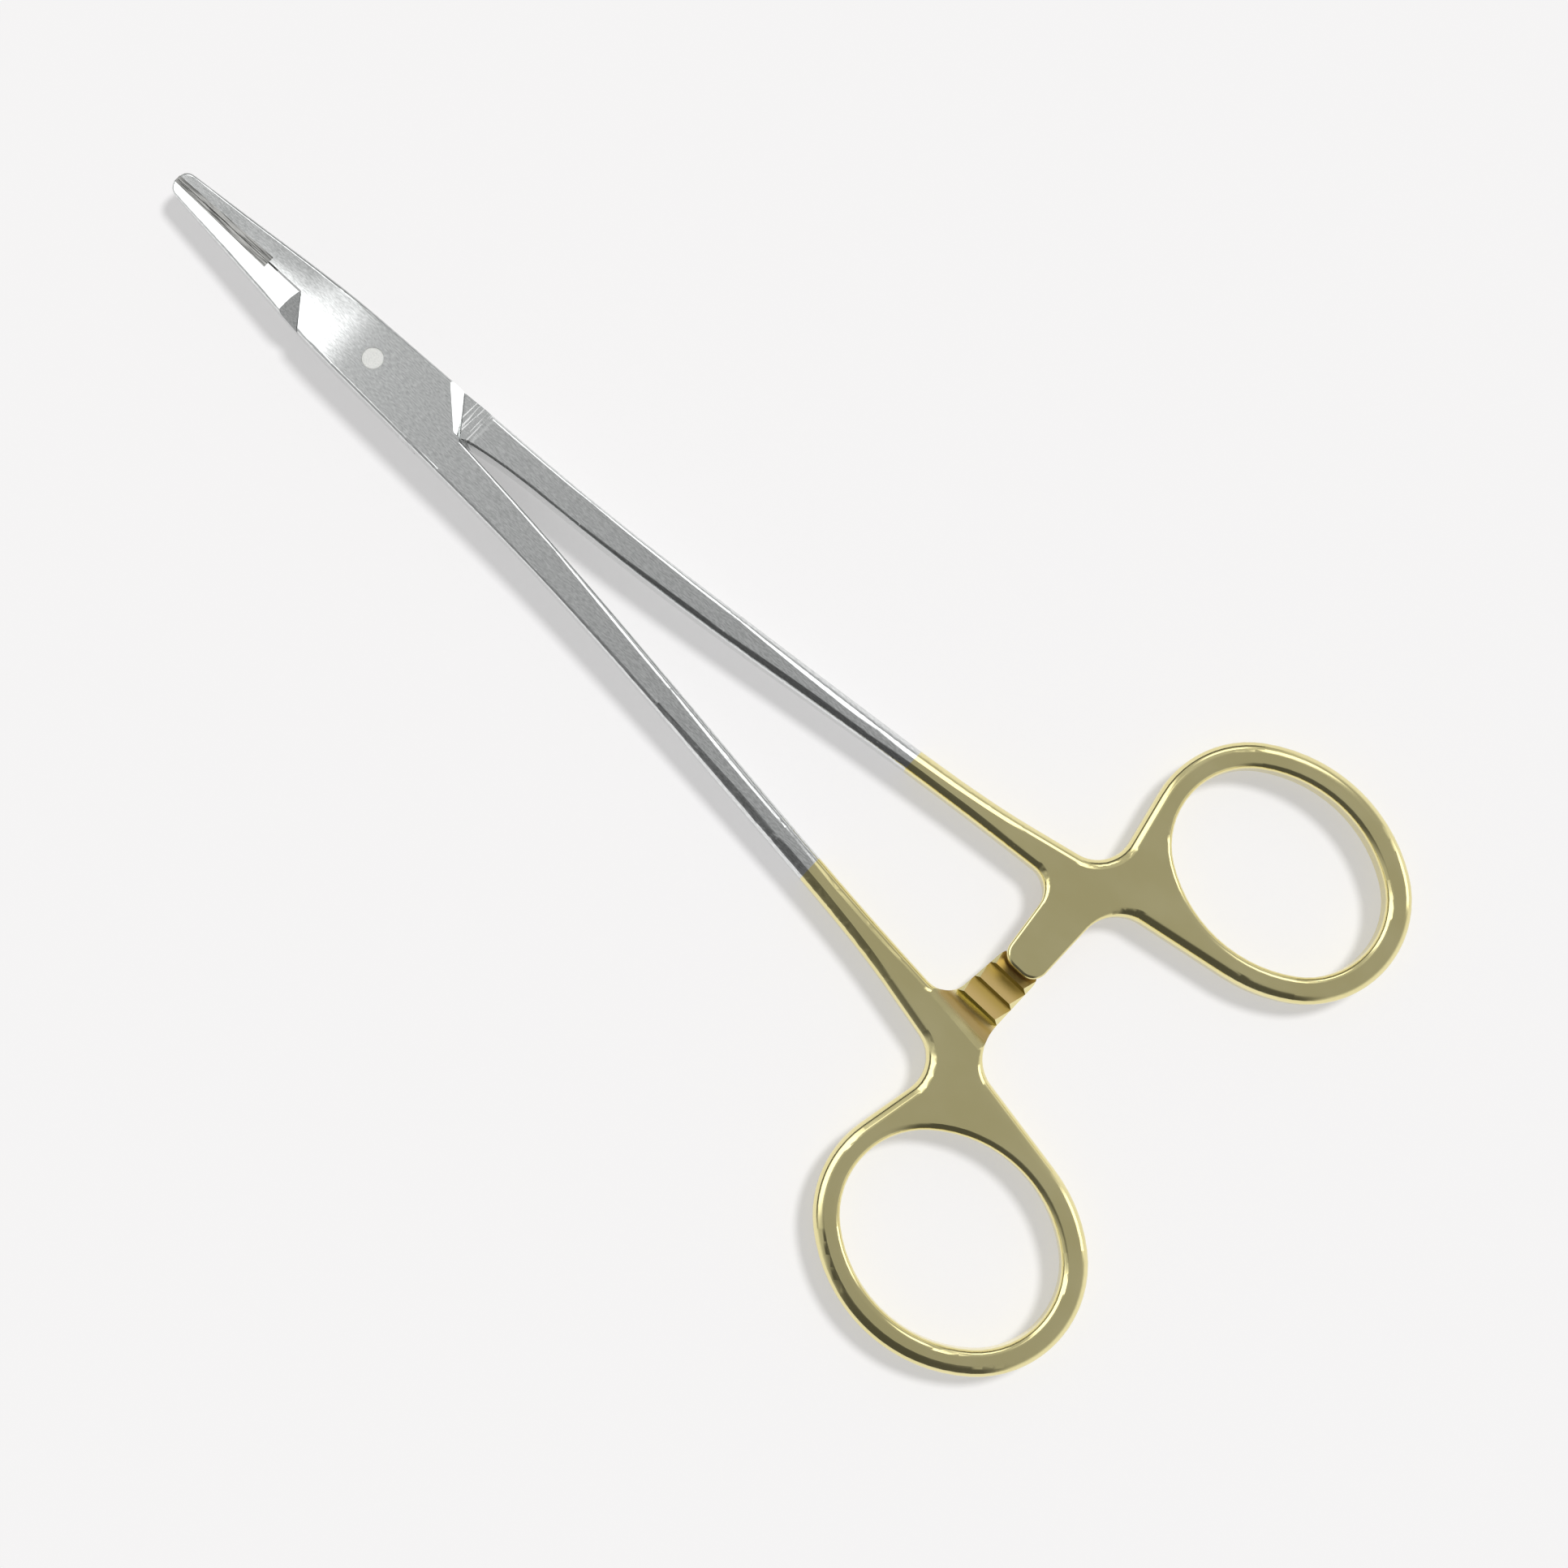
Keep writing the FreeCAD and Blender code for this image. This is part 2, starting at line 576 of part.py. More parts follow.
def tenon_recess():
    """What is milled off the male half above and below its tenon, with the ground facets at both ends."""
    level = MIDDLE + SLOT_HEIGHT / 2 - TENON_PLAY
    high = BOX_HEIGHT + OVERRUN
    reach = 2 * BOX_HALF_WIDTH
    front_side = at(CHEEK_FRONT_SIDE, -CHEEK_FRONT_HALF_WIDTH)
    front_middle = at(CHEEK_FRONT_MIDDLE, JAW_RELIEF)
    rear_side = at(-CHEEK_REAR_SIDE, box_half_width(-CHEEK_REAR_SIDE))
    rear_middle = at(-CHEEK_REAR_MIDDLE, CROTCH_GAP)
    front_out = (front_middle - front_side).normalize().cross(at(0, 0, 1)) * SHOULDER_GAP
    rear_out = (rear_middle - rear_side).normalize().cross(at(0, 0, 1)) * SHOULDER_GAP
    floor = []
    for spot, way, height in ((front_side + front_out, front_middle - front_side, -reach),
                              (front_side + front_out, front_middle - front_side, reach),
                              (rear_side + rear_out, rear_middle - rear_side, reach),
                              (rear_side + rear_out, rear_middle - rear_side, -reach)):
        point = crossing(spot, way, at(0, height), at(1, 0))
        floor.append((point.x, point.y))
    cut = prism(floor, level, high)

    jaw_top = MIDDLE + JAW_NECK_HEIGHT / 2
    front_facet = beyond_plane(
        at(front_side.x, front_side.y, level),
        at(front_middle.x + SHOULDER_GAP, front_middle.y - FACET_FRONT_RISE, jaw_top),
        at(front_side.x + FACET_FRONT_LENGTH, front_side.y + FACET_FRONT_DROP, jaw_top),
        at(front_side.x, front_side.y, high))
    front_room = prism([(0, -reach), (2 * CHEEK_FRONT_MIDDLE, -reach), (2 * CHEEK_FRONT_MIDDLE, front_middle.y),
                        (0, front_middle.y)], level, high)
    rear_facet = beyond_plane(
        at(rear_side.x, rear_side.y, level + FACET_STEP),
        at(rear_middle.x, rear_middle.y, BOX_HEIGHT),
        at(rear_side.x - FACET_REAR_LENGTH, rear_side.y, BOX_HEIGHT),
        at(rear_side.x, rear_side.y, high))
    rear_room = prism([(0, 0), (0, reach), (-2 * CHEEK_REAR_MIDDLE, reach), (-2 * CHEEK_REAR_MIDDLE, 0)], level, high)
    cut = cut.fuse([front_facet.common(front_room), rear_facet.common(rear_room)])
    return both_faces(cut)


def tooth_profile(ramp_top, x):
    """The closed outline of what is cut off above the ratchet teeth, across the instrument at one x."""
    crest = MIDDLE - ARM_GAP / 2
    root = crest - TOOTH_DEPTH
    top = MIDDLE + HANDLE_THICKNESS / 2
    high = BOX_HEIGHT + OVERRUN
    ramp_foot = FIRST_TOOTH + TOOTH_FACE
    points = [at(x, ramp_foot, root)]
    for number in range(TOOTH_COUNT):
        tooth = FIRST_TOOTH - number * TOOTH_PITCH
        points.append(at(x, tooth, crest))
        if number < TOOTH_COUNT - 1:
            points.append(at(x, tooth - TOOTH_PITCH + TOOTH_FACE, root))
    points += [at(x, points[-1].y - TOOTH_PITCH, root), at(x, points[-1].y - TOOTH_PITCH, high),
               at(x, ramp_top + OVERRUN, high), at(x, ramp_top, top)]
    edges = [Part.LineSegment(start, end).toShape() for start, end in zip(points, points[1:])]
    middle = at(x, (ramp_top + ramp_foot) / 2, (top + root) / 2)
    across = at(0, root - top, ramp_top - ramp_foot).normalize()
    edges.append(Part.Arc(points[-1], middle + across * RAMP_BULGE, points[0]).toShape())
    return Part.Wire(edges)


def ratchet_cut():
    """What is milled off the upper half of a ratchet arm: the teeth, their side bevels and the ramp."""
    front = -ARM_BACK + ARM_WIDTH / 2
    rear = -ARM_BACK - ARM_WIDTH / 2
    ramp_top = FIRST_TOOTH + TOOTH_FACE + RAMP_LENGTH
    wide = ARM_FRONT_RADIUS
    near = tooth_profile(ramp_top - RAMP_SKEW * wide, front + wide)
    far = tooth_profile(ramp_top + RAMP_SKEW * ARM_WIDTH, rear - OVERRUN)
    teeth = Part.makeLoft([near, far], True, True)
    crest = MIDDLE - ARM_GAP / 2
    root = crest - TOOTH_DEPTH
    run = at(0, FIRST_TOOTH + TOOTH_FACE + ARM_PAST_MIDDLE + OVERRUN)
    bevels = []
    for edge, inward, flare in ((rear, 1, 0.0), (front, -1, ARM_FLARE)):
        low = at(edge, -ARM_PAST_MIDDLE - OVERRUN, root)
        corners = [low, low + at(-inward, 0, 0), low + at(-inward, 0, TOOTH_DEPTH + OVERRUN),
                   low + at(inward * TOOTH_SIDE_BEVEL * 2, 0, TOOTH_DEPTH * 2), low]
        way = at(flare * run.y, run.y)
        bevels.append(Part.Face(Part.makePolygon(corners)).extrude(way))
    return teeth.fuse(bevels)


def insert_room():
    """The space of an insert in its jaw, behind the seam on -Y."""
    rear = JAW_REACH - INSERT_LENGTH
    ahead = JAW_REACH + OVERRUN
    slope = (INSERT_REAR_DEPTH - INSERT_TIP_DEPTH) / INSERT_LENGTH
    front_depth = INSERT_TIP_DEPTH - slope * OVERRUN
    plan = [(rear, OVERRUN), (rear, -JAW_PLAY - INSERT_REAR_DEPTH), (ahead, -JAW_PLAY - front_depth), (ahead, OVERRUN)]
    return prism(plan, 0, BOX_HEIGHT)


def female_half():
    """The half with the cheeks, its shank on +Y and its jaw on -Y, and its insert."""
    handle = Handle(RING_BACK + RING_STAGGER, FEMALE_RING_OUT, FEMALE_HOLE_LENGTH, FEMALE_HOLE_WIDTH,
                    0, 0, FEMALE_CROTCH_SLOPE)
    solid = blank(half_outline(handle, cheek_front, CHEEK_REAR_MIDDLE, CHEEK_REAR_SIDE), handle)
    solid = solid.cut([slot(), cheek_bevels(), ratchet_cut()])
    solid = solid.cut(Part.makeCylinder(PIN_DIAMETER / 2, BOX_HEIGHT))
    room = insert_room()
    return solid.cut(room), solid.common(room)


def male_half():
    """The half with the tenon, its shank on -Y and its jaw on +Y, and its insert."""
    handle = Handle(RING_BACK - RING_STAGGER, MALE_RING_OUT, MALE_HOLE_LENGTH, MALE_HOLE_WIDTH,
                    MALE_SLIMMING, MALE_CROTCH_RELIEF, MALE_CROTCH_SLOPE)
    rear_side = SLOT_REAR_SIDE - TENON_EDGE_GAP
    solid = blank(half_outline(handle, tenon_front, CHEEK_REAR_MIDDLE - TENON_EDGE_GAP, rear_side), handle)
    solid = solid.cut([tenon_recess(), ratchet_cut()])
    solid = solid.cut(Part.makeCylinder(PIN_DIAMETER / 2 + PIN_PLAY, BOX_HEIGHT))
    room = insert_room()
    return turned_over(solid.cut(room)), turned_over(solid.common(room))


def pivot_pin():
    """The pin, flush with both cheeks, with a fine bevel at each end."""
    pin = Part.makeCylinder(PIN_DIAMETER / 2, BOX_HEIGHT)
    return pin.makeChamfer(PIN_CHAMFER, [edge for edge in pin.Edges if len(edge.Vertexes) == 1])


def main():
    os.makedirs("parts", exist_ok=True)
    female, female_insert = female_half()
    male, male_insert = male_half()
    pieces = {
        "female_half": female,
        "male_half": male,
        "insert_female": female_insert,
        "insert_male": male_insert,
        "pivot_pin": pivot_pin(),
    }
    for name, shape in pieces.items():
        solids = shape.removeSplitter().Solids
        print(name, len(solids), "solids, valid", shape.isValid(), "volume", round(shape.Volume, 2))
        Part.makeCompound(solids).exportStep("parts/" + name + ".step")


main()
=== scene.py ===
"""Studio scene of a surgical needle holder: steel jaws and shanks, gold plated handles, hard jaw inserts.

Metres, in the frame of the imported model: the origin is on the pivot axis at the underside of the box lock,
+X runs to the jaw tips, +Y to the finger ring of the female half and +Z up.
"""

import math

import bmesh
import bpy
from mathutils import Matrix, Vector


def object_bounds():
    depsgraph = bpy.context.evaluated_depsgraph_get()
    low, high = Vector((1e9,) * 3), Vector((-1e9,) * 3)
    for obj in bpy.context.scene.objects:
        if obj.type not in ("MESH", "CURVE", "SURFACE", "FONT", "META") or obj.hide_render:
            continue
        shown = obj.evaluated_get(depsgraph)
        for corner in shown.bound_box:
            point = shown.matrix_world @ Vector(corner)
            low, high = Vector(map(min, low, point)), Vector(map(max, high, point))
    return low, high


MM = 0.001

# Camera, as the photograph was taken
CAMERA_PLACE = (-88.39 * MM, 27.66 * MM, 350.0 * MM)
CAMERA_TURN = (0.0943, -0.0016, 3.8934)
CAMERA_LENS = 71.51
CAMERA_SENSOR = 36.0
CAMERA_CLIP = (0.01, 20.0)

# Even light from all round, and a sun that is tilted from overhead towards -Y
AMBIENT = 0.36
SUN_STRENGTH = 2.24
SUN_WIDTH = 12.0
SUN_TILT = 29.0
SUN_TURN = -12.0

# Paper: its look past the floor, and on the floor its own colour and the glow that keeps its shadows light
PAPER = (0.913, 0.905, 0.905)
PAPER_ALBEDO = (0.50, 0.495, 0.495)
PAPER_GLOW = (0.425, 0.421, 0.421)
FLOOR_SIZE = 8.0
FLOOR_GAP = 0.02 * MM

# Reflecting dome, seen only by the metal: its levels overhead, ahead over the tips, and at the horizon
DOME_RADIUS = 2.0
DOME_SEGMENTS = (64, 32)
DOME_ROUNDING = 1e-6
OVERHEAD_LEVEL = 0.39
AHEAD_LEVEL = 0.50
AHEAD_REACH = (0.03, 0.24)
HORIZON_LEVEL = 0.85
HORIZON_TILT = (60.0, 88.0)

# Windows and dark screens on the dome: level, azimuths from +X to +Y and tilts from overhead, in degrees.
# Each has its full level between its middle two azimuths and tilts, and fades out to its outer ones.
PATCHES = (
    (0.07, (-80.0, -60.0, 45.0, 58.0), (66.0, 73.0, 84.0, 87.0)),
    (1.9, (-14.0, -4.0, 40.0, 56.0), (22.0, 26.0, 58.0, 68.0)),
    (0.95, (-34.0, -27.0, -12.0, -8.0), (20.5, 22.5, 24.5, 27.0)),
    (1.9, (-24.0, -10.0, 40.0, 56.0), (15.8, 19.0, 24.0, 26.5)),
    (1.9, (-66.0, -58.0, -38.0, -28.0), (40.0, 46.0, 54.0, 62.0)),
    (1.9, (-100.0, -90.0, -76.0, -66.0), (20.0, 28.0, 46.0, 56.0)),
    (0.085, (58.0, 90.0, 140.0, 160.0), (4.0, 18.0, 88.0, 90.0)),
    (2.0, (-142.0, -136.0, -120.0, -112.0), (50.0, 58.0, 80.0, 86.0)),
)

# Noises: frequency per metre along X, Y and Z, detail and roughness. Most of their values lie in SPREAD.
BRUSHING = ((1700.0, 8000.0, 8000.0), 3.0, 0.6)
GRAIN = ((7000.0, 9000.0, 9000.0), 2.0, 0.6)
CLOUDS = ((110.0, 160.0, 160.0), 3.0, 0.55)
SCRATCHES = ((3000.0, 120.0, 120.0), 2.0, 0.5)
STREAKS = ((60.0, 4200.0, 4200.0), 3.0, 0.6)
FROST = ((6500.0, 6500.0, 6500.0), 3.0, 0.65)
SPREAD = (0.3, 0.7)

# Satin steel. Its relief is also under the gold, where it shows less.
STEEL_SPREAD = (0.28, 0.72)
STEEL_DARK = (0.62, 0.635, 0.63)
STEEL_LIGHT = (0.90, 0.915, 0.91)
STEEL_ROUGH = (0.09, 0.16)
STEEL_BUMP = 0.35
RELIEF_DEPTH = 0.006 * MM
BRUSHING_SHARE = 0.4
GRAIN_SHARE = 0.6

# Painted shade: the colour of the side walls that face -Y is darkened, from just behind the box to the tips
SIDE_PAINTED_SHADE = 0.75
SIDE_FACING = (-0.5, -0.15)
SIDE_LENGTH = (-9.2 * MM, -8.0 * MM)

# File marks on the male half, just behind the box
SCRATCH = (0.95, 0.96, 0.95)
SCRATCH_ROUGH = 0.5
SCRATCH_TURN = 19.0
SCRATCH_SPREAD = (0.52, 0.58)
SCRATCHED_LENGTH = (-15.4 * MM, -13.6 * MM, -8.0 * MM, -7.0 * MM)

# How far the normal of the cheeks leans towards the tips, where that grows, and where and on what it shows
LEAN = 0.045
LEAN_RISE = (0.5 * MM, 8.5 * MM)
LEAN_LENGTH = (-1.0 * MM, 0.5 * MM, 7.0 * MM, 9.0 * MM)
LEAN_FACING = (0.97, 0.99)

# Gold plating, and where it ends on the two shanks
PLATING_FEMALE = -75.0 * MM
PLATING_MALE = -75.2 * MM
PLATING_FADE = 0.06 * MM
GOLD_DARK = (0.83, 0.745, 0.375)
GOLD_LIGHT = (0.88, 0.795, 0.425)
GOLD_ROUGH = (0.12, 0.17)
GOLD_BUMP = 0.02

# Duller gold on the teeth and the ramp of the ratchet, browner with painted shade. It is darkest at the
# foot of each tooth, and as dark past the end of that pattern, near the top of the ramp. The foot of the
# ramp has a painted light band.
POCKET_PAINTED_SHADE_DARK = (0.48, 0.34, 0.09)
POCKET_PAINTED_SHADE_LIGHT = (0.60, 0.44, 0.18)
POCKET_ROUGH = 0.34
POCKET_BUMP = 0.3
TOOTH_FOOT = 2.1 * MM
TOOTH_PITCH = 2.35 * MM
TOOTH_SPREAD = (0.1, 0.8)
PATTERN_END = 3.9 * TOOTH_PITCH
RAMP_FOOT_PAINTED_LIGHT = (0.86, 0.71, 0.42)
PAINTED_LIGHT_BAND_SPAN = (6.5 * MM, 6.7 * MM, 7.3 * MM, 8.1 * MM)

# Where that pocket is: its span along X, its reach from the seam and the middle plane, and how it faces
POCKET_LENGTH = (-102.7 * MM, -102.2 * MM, -95.2 * MM, -94.0 * MM)
POCKET_SIDE = (9.9 * MM, 10.4 * MM)
POCKET_RISE = (1.55 * MM, 2.0 * MM)
POCKET_FACING_UP = (0.42, 0.7)
POCKET_FACING_ALONG = (0.2, 0.4)
MIDDLE_PLANE = 3.0 * MM

# Hard metal of the inserts, with crossed grooves on the faces that grip
HARD_DARK = (0.12, 0.12, 0.115)
HARD_LIGHT = (0.56, 0.56, 0.54)
HARD_SPREAD = (0.35, 0.65)
HARD_ROUGH = (0.34, 0.5)
HARD_RELIEF = 0.01 * MM
HARD_BUMP = 0.5
SERRATION_PITCH = 0.5 * MM
SERRATION_DEPTH = 0.12 * MM
GRIPPING_FACING = (0.8, 0.95)

# Frosted ends of the pin
PIN_DARK = (0.86, 0.87, 0.84)
PIN_LIGHT = (1.0, 1.0, 0.97)
PIN_SPREAD = (0.35, 0.65)
PIN_METALLIC = 0.8
PIN_ROUGH = 0.62
PIN_RELIEF = 0.02 * MM
PIN_BUMP = 0.7


class Nodes:
    """Builds a node tree in short calls. A value that is a number is written on the socket itself."""

    def __init__(self, tree):
        self.tree = tree
        tree.nodes.clear()

    def add(self, kind, **settings):
        node = self.tree.nodes.new(kind)
        for name, value in settings.items():
            setattr(node, name, value)
        return node

    def join(self, value, socket):
        if isinstance(value, bpy.types.NodeSocket):
            self.tree.links.new(value, socket)
        elif value is not None:
            socket.default_value = value

    def math(self, operation, first, second=None, third=None):
        node = self.add("ShaderNodeMath", operation=operation)
        for value, socket in zip((first, second, third), node.inputs):
            self.join(value, socket)
        return node.outputs[0]

    def times(self, first, second):
        return self.math("MULTIPLY", first, second)

    def absolute(self, value):
        return self.math("ABSOLUTE", value)

    def unit(self, vector):
        """A vector's direction."""
        node = self.add("ShaderNodeVectorMath", operation="NORMALIZE")
        self.join(vector, node.inputs[0])
        return node.outputs["Vector"]

    def split(self, vector):
        node = self.add("ShaderNodeSeparateXYZ")
        self.join(vector, node.inputs[0])
        return node.outputs

    def rise(self, value, low, high, to_low=0.0, to_high=1.0):
        """A smooth step from to_low, where value is low, to to_high, where it is high."""
        node = self.add("ShaderNodeMapRange", interpolation_type="SMOOTHSTEP")
        for given, socket in zip((value, low, high, to_low, to_high), node.inputs):
            self.join(given, socket)
        return node.outputs[0]

    def fall(self, value, low, high):
        """One below low, and smoothly zero above high."""
        return self.rise(value, low, high, 1.0, 0.0)

    def window(self, value, edges):
        """One between the two middle edges, and smoothly zero outside the outer ones."""
        return self.times(self.rise(value, *edges[:2]), self.fall(value, *edges[2:]))

    def blend(self, share, first, second):
        """Number first where share is 0, second where it is 1."""
        node = self.add("ShaderNodeMix", data_type="FLOAT")
        for value, socket in zip((share, first, second), node.inputs[:1] + node.inputs[2:4]):
            self.join(value, socket)
        return node.outputs[0]

    def colours(self, share, first, second, kind="MIX"):
        """Colour first where share is 0, second where it is 1."""
        node = self.add("ShaderNodeMix", data_type="RGBA", blend_type=kind)
        for value, socket in zip((share, first, second), node.inputs[:1] + node.inputs[6:8]):
            self.join((*value, 1.0) if isinstance(value, tuple) else value, socket)
        return node.outputs[2]

    def place(self, scale=(1.0, 1.0, 1.0), turn=0.0):
        """Object coordinates, scaled, and turned about Z by degrees."""
        mapping = self.add("ShaderNodeMapping")
        mapping.inputs["Scale"].default_value = scale
        mapping.inputs["Rotation"].default_value = (0.0, 0.0, math.radians(turn))
        self.join(self.add("ShaderNodeTexCoord").outputs["Object"], mapping.inputs["Vector"])
        return mapping.outputs[0]

    def facing(self):
        """The three parts of the surface's own normal."""
        return self.split(self.add("ShaderNodeNewGeometry").outputs["Normal"])

    def looked_at(self):
        """One for rays from the camera and for what metal or glass shows, zero for rays that gather light."""
        path = self.add("ShaderNodeLightPath").outputs
        seen = self.math("MAXIMUM", path["Is Camera Ray"], path["Is Glossy Ray"])
        return self.math("MAXIMUM", seen, path["Is Transmission Ray"])

    def noise(self, frequency, detail, roughness, turn=0.0):
        """A noise between 0 and 1 in the object's own coordinates, turned about Z by degrees."""
        node = self.add("ShaderNodeTexNoise")
        self.join(self.place(frequency, turn), node.inputs["Vector"])
        for name, value in (("Scale", 1.0), ("Detail", detail), ("Roughness", roughness)):
            self.join(value, node.inputs[name])
        return node.outputs[0]

    def bump(self, height, depth, strength, below=None):
        """A normal from a height between 0 and 1 that stands for depth metres, on top of the normal below."""
        node = self.add("ShaderNodeBump")
        given = {"Height": height, "Distance": depth, "Strength": strength, "Normal": below}
        for name, value in given.items():
            self.join(value, node.inputs[name])
        return node.outputs[0]

    def ratchet_share(self, where):
        """One on the teeth and the ramp: near the middle plane, near the seam and facing up or down."""
        height = self.absolute(self.math("SUBTRACT", where[2], MIDDLE_PLANE))
        facing = self.facing()
        level = self.times(self.rise(self.absolute(facing[2]), *POCKET_FACING_UP),
                           self.fall(self.absolute(facing[0]), *POCKET_FACING_ALONG))
        near = self.times(self.fall(height, *POCKET_RISE), self.fall(self.absolute(where[1]), *POCKET_SIDE))
        return self.times(self.times(level, near), self.window(where[0], POCKET_LENGTH))

    def leaning(self, where):
        """The surface's own normal, which on the cheeks turns towards the tips little by little."""
        facing = self.facing()
        level = self.rise(self.absolute(facing[2]), *LEAN_FACING)
        share = self.times(level, self.window(where[0], LEAN_LENGTH))
        lean = self.rise(where[0], *LEAN_RISE, 0.0, LEAN)
        node = self.add("ShaderNodeCombineXYZ")
        for value, socket in zip((self.blend(share, facing[0], lean), *facing[1:]), node.inputs):
            self.join(value, socket)
        return self.unit(node.outputs[0])


def new_material(name):
    """A material with one Principled shader, its nodes helper and that shader's inputs."""
    material = bpy.data.materials.new(name)
    material.use_nodes = True
    nodes = Nodes(material.node_tree)
    output = nodes.add("ShaderNodeOutputMaterial")
    shader = nodes.add("ShaderNodeBsdfPrincipled")
    nodes.join(shader.outputs[0], output.inputs["Surface"])
    return material, nodes, shader.inputs


def plating_colour(nodes, where, pocket, clouds):
    """Gold, slightly uneven, and in the pocket of the ratchet browner with painted shade and a painted light
    band.
    """
    gold = nodes.colours(nodes.rise(clouds, *SPREAD), GOLD_DARK, GOLD_LIGHT)
    across = nodes.math("SUBTRACT", nodes.math("MINIMUM", where[1], PATTERN_END), TOOTH_FOOT)
    across = nodes.math("FRACT", nodes.math("DIVIDE", across, TOOTH_PITCH))
    # Painted shade in the pocket of the ratchet, darkest at the foot of each tooth
    teeth = nodes.colours(nodes.rise(across, *TOOTH_SPREAD), POCKET_PAINTED_SHADE_DARK, POCKET_PAINTED_SHADE_LIGHT)
    # A painted light band at the foot of the ramp
    teeth = nodes.colours(nodes.window(where[1], PAINTED_LIGHT_BAND_SPAN), teeth, RAMP_FOOT_PAINTED_LIGHT)
    return nodes.colours(pocket, gold, teeth)


def body_metal(name, plating_end, boxed):
    """Satin steel that turns to gold plating behind a given X.

    The half with the box has the cheeks whose normal leans, and the other half has the file marks.
    """
    material, nodes, shader = new_material(name)
    where = nodes.split(nodes.place())
    gold = nodes.fall(where[0], plating_end - PLATING_FADE, plating_end + PLATING_FADE)
    pocket = nodes.ratchet_share(where)
    brushing = nodes.noise(*BRUSHING)
    grain = nodes.noise(*GRAIN)
    clouds = nodes.noise(*CLOUDS)

    steel_colour = nodes.colours(nodes.rise(brushing, *STEEL_SPREAD), STEEL_DARK, STEEL_LIGHT)
    # Painted shade on the side walls that face -Y, from just behind the box to the tips
    side = nodes.times(nodes.fall(nodes.facing()[1], *SIDE_FACING), nodes.rise(where[0], *SIDE_LENGTH))
    steel_colour = nodes.colours(side, steel_colour, (SIDE_PAINTED_SHADE,) * 3, "MULTIPLY")
    steel_rough = nodes.rise(grain, *SPREAD, *STEEL_ROUGH)
    if boxed:
        normal = nodes.leaning(where)
    else:
        normal = None
        marks = nodes.rise(nodes.noise(*SCRATCHES, SCRATCH_TURN), *SCRATCH_SPREAD)
        marks = nodes.times(marks, nodes.window(where[0], SCRATCHED_LENGTH))
        steel_colour = nodes.colours(marks, steel_colour, SCRATCH)
        steel_rough = nodes.blend(marks, steel_rough, SCRATCH_ROUGH)

    gold_colour = plating_colour(nodes, where, pocket, clouds)
    gold_rough = nodes.blend(pocket, nodes.rise(clouds, *SPREAD, *GOLD_ROUGH), POCKET_ROUGH)
    nodes.join(nodes.colours(gold, steel_colour, gold_colour), shader["Base Color"])
    nodes.join(nodes.blend(gold, steel_rough, gold_rough), shader["Roughness"])
    shader["Metallic"].default_value = 1.0

    relief = nodes.math("MULTIPLY_ADD", brushing, BRUSHING_SHARE, nodes.times(grain, GRAIN_SHARE))
    strength = nodes.blend(gold, STEEL_BUMP, nodes.blend(pocket, GOLD_BUMP, POCKET_BUMP))
    nodes.join(nodes.bump(relief, RELIEF_DEPTH, strength, normal), shader["Normal"])
    return material


def carbide():
    """Dull dark grey hard metal, with crossed grooves on the two faces that grip."""
    material, nodes, shader = new_material("hard_metal")
    streaks = nodes.noise(*STREAKS)
    nodes.join(nodes.colours(nodes.rise(streaks, *HARD_SPREAD), HARD_DARK, HARD_LIGHT), shader["Base Color"])
    nodes.join(nodes.rise(streaks, *SPREAD, *HARD_ROUGH), shader["Roughness"])
    shader["Metallic"].default_value = 1.0

    where = nodes.split(nodes.place())
    waves = []
    for slope in (1.0, -1.0):
        along = nodes.math("MULTIPLY_ADD", where[2], slope, where[0])
        waves.append(nodes.math("SINE", nodes.times(along, math.tau / SERRATION_PITCH)))
    grid = nodes.math("MULTIPLY_ADD", nodes.math("MAXIMUM", *waves), 0.5, 0.5)
    gripping = nodes.rise(nodes.absolute(nodes.facing()[1]), *GRIPPING_FACING)
    streaked = nodes.bump(streaks, HARD_RELIEF, HARD_BUMP)
    nodes.join(nodes.bump(grid, SERRATION_DEPTH, gripping, streaked), shader["Normal"])
    return material


def frosted_steel():
    """The ground end of the pin, lighter and more even than the cheeks around it."""
    material, nodes, shader = new_material("frosted_steel")
    frost = nodes.noise(*FROST)
    nodes.join(nodes.colours(nodes.rise(frost, *PIN_SPREAD), PIN_DARK, PIN_LIGHT), shader["Base Color"])
    shader["Metallic"].default_value = PIN_METALLIC
    shader["Roughness"].default_value = PIN_ROUGH
    nodes.join(nodes.bump(frost, PIN_RELIEF, PIN_BUMP), shader["Normal"])
    return material


def paper():
    """The pale floor, with a glow that is seen and that lights nothing."""
    material, nodes, shader = new_material("paper")
    shader["Base Color"].default_value = (*PAPER_ALBEDO, 1.0)
    shader["Roughness"].default_value = 1.0
    shader["Specular IOR Level"].default_value = 0.0
    shader["Emission Color"].default_value = (*PAPER_GLOW, 1.0)
    nodes.join(nodes.looked_at(), shader["Emission Strength"])
    return material


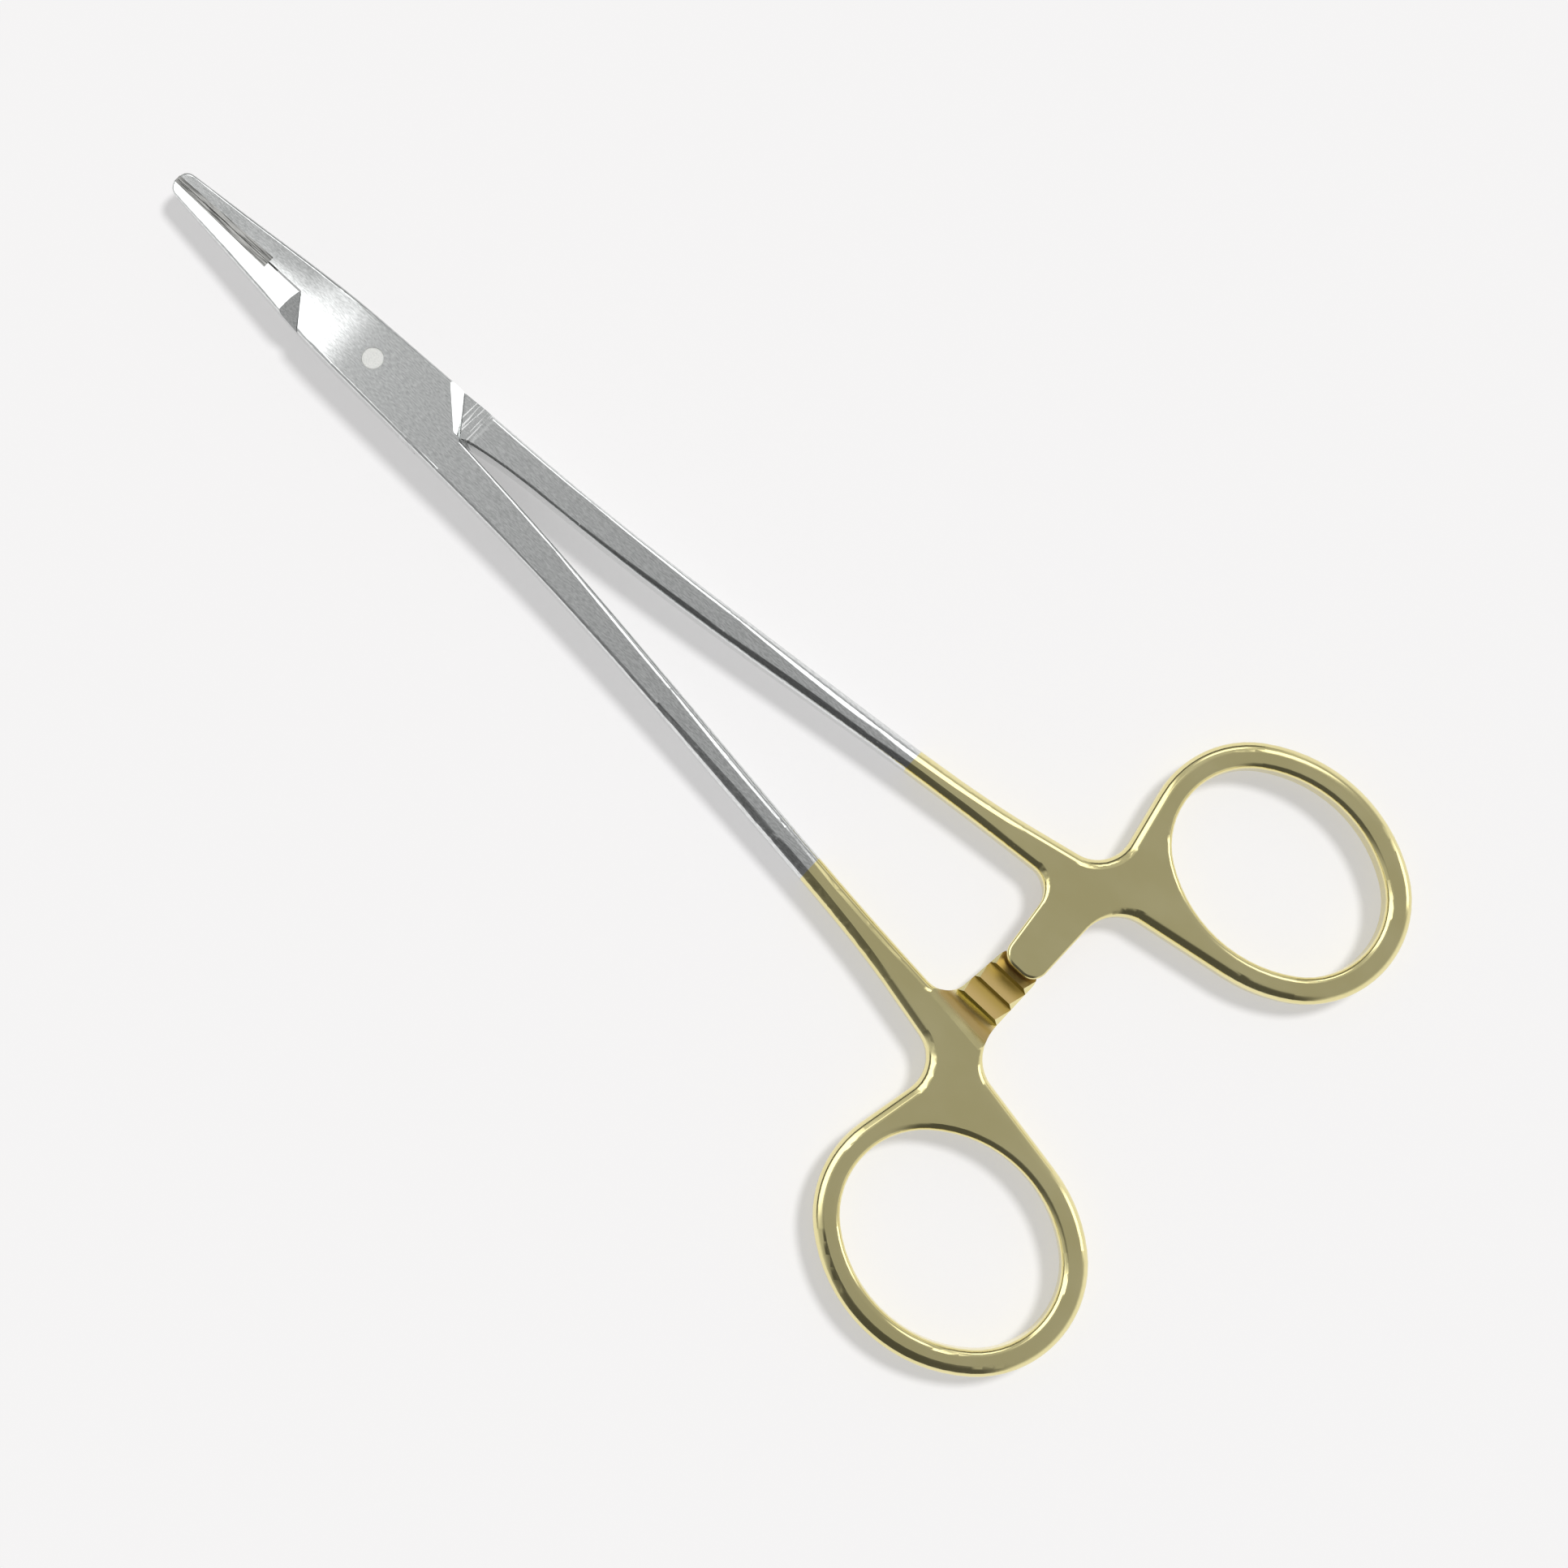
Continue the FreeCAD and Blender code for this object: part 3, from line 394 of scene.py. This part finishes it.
def dome_glow():
    """What the metal reflects: grey overhead, pale at the horizon, with bright windows and dark screens."""
    material = bpy.data.materials.new("dome_glow")
    material.use_nodes = True
    nodes = Nodes(material.node_tree)
    output = nodes.add("ShaderNodeOutputMaterial")
    glow = nodes.add("ShaderNodeEmission")
    nodes.join(glow.outputs[0], output.inputs["Surface"])
    way = nodes.split(nodes.unit(nodes.place()))
    azimuth = nodes.math("DEGREES", nodes.math("ARCTAN2", way[1], way[0]))
    tilt = nodes.math("DEGREES", nodes.math("ARCCOSINE", way[2]))
    level = nodes.rise(way[0], *AHEAD_REACH, OVERHEAD_LEVEL, AHEAD_LEVEL)
    level = nodes.blend(nodes.rise(tilt, *HORIZON_TILT), level, HORIZON_LEVEL)
    for patch, azimuths, tilts in PATCHES:
        share = nodes.times(nodes.window(azimuth, azimuths), nodes.window(tilt, tilts))
        level = nodes.blend(share, level, patch)
    nodes.join(level, glow.inputs["Strength"])
    return material


def mesh_object(name, mesh):
    """Link a bmesh as an object of the scene."""
    data = bpy.data.meshes.new(name)
    mesh.to_mesh(data)
    mesh.free()
    thing = bpy.data.objects.new(name, data)
    bpy.context.scene.collection.objects.link(thing)
    return thing


def make_floor():
    """A wide sheet of paper just under the object."""
    mesh = bmesh.new()
    bmesh.ops.create_grid(mesh, x_segments=1, y_segments=1, size=FLOOR_SIZE / 2)
    floor = mesh_object("floor", mesh)
    floor.location.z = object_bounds()[0].z - FLOOR_GAP
    floor.data.materials.append(paper())


def make_dome():
    """The reflecting dome. Only glossy rays meet it, so it neither lights the floor nor hides the view."""
    mesh = bmesh.new()
    around, down = DOME_SEGMENTS
    bmesh.ops.create_uvsphere(mesh, u_segments=around, v_segments=down, radius=DOME_RADIUS)
    below = [vertex for vertex in mesh.verts if vertex.co.z < -DOME_ROUNDING]
    bmesh.ops.delete(mesh, geom=below, context="VERTS")
    dome = mesh_object("dome", mesh)
    dome.data.materials.append(dome_glow())
    dome.visible_camera = False
    dome.visible_diffuse = False
    dome.visible_transmission = False
    dome.visible_shadow = False


def make_world():
    """Even light all round, and a pale background where a camera or a reflection sees past the floor."""
    world = bpy.data.worlds.new("surroundings")
    world.use_nodes = True
    bpy.context.scene.world = world
    nodes = Nodes(world.node_tree)
    output = nodes.add("ShaderNodeOutputWorld")
    light = nodes.add("ShaderNodeBackground")
    light.inputs["Color"].default_value = (1.0, 1.0, 1.0, 1.0)
    light.inputs["Strength"].default_value = AMBIENT
    seen = nodes.add("ShaderNodeBackground")
    seen.inputs["Color"].default_value = (*PAPER, 1.0)
    seen.inputs["Strength"].default_value = 1.0
    mix = nodes.add("ShaderNodeMixShader")
    for value, socket in zip((nodes.looked_at(), light.outputs[0], seen.outputs[0]), mix.inputs):
        nodes.join(value, socket)
    nodes.join(mix.outputs[0], output.inputs["Surface"])


def make_sun():
    """The key light, from the -Y side, which lays the shadow on the +Y side and shows in no reflection."""
    data = bpy.data.lights.new("key", "SUN")
    data.energy = SUN_STRENGTH
    data.angle = math.radians(SUN_WIDTH)
    sun = bpy.data.objects.new("key", data)
    sun.rotation_euler = (math.radians(SUN_TILT), 0.0, math.radians(SUN_TURN))
    sun.visible_glossy = False
    bpy.context.scene.collection.objects.link(sun)


def make_camera():
    """The camera at the place from which the photograph was taken."""
    data = bpy.data.cameras.new("camera")
    data.lens = CAMERA_LENS
    data.sensor_width = CAMERA_SENSOR
    data.clip_start, data.clip_end = CAMERA_CLIP
    camera = bpy.data.objects.new("camera", data)
    camera.location = CAMERA_PLACE
    camera.rotation_euler = CAMERA_TURN
    bpy.context.scene.collection.objects.link(camera)
    bpy.context.scene.camera = camera


def dress(frame):
    """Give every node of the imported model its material."""
    hard = carbide()
    finishes = {
        "female_half": body_metal("plated_steel_female", PLATING_FEMALE, boxed=True),
        "male_half": body_metal("plated_steel_male", PLATING_MALE, boxed=False),
        "insert_female": hard,
        "insert_male": hard,
        "pivot_pin": frosted_steel(),
    }
    for name, material in finishes.items():
        node = frame["nodes"][name]
        for slot in node.material_slots:
            slot.material = material


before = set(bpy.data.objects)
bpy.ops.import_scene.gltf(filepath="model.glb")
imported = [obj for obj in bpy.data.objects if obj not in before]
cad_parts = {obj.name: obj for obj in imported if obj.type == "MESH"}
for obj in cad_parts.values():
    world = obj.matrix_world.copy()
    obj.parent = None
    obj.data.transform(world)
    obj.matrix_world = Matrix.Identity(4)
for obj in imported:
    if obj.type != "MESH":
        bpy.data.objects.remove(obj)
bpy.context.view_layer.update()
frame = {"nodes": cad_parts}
dress(frame)
make_floor()
make_dome()
make_world()
make_sun()
make_camera()
bpy.context.scene.view_settings.view_transform = "Standard"
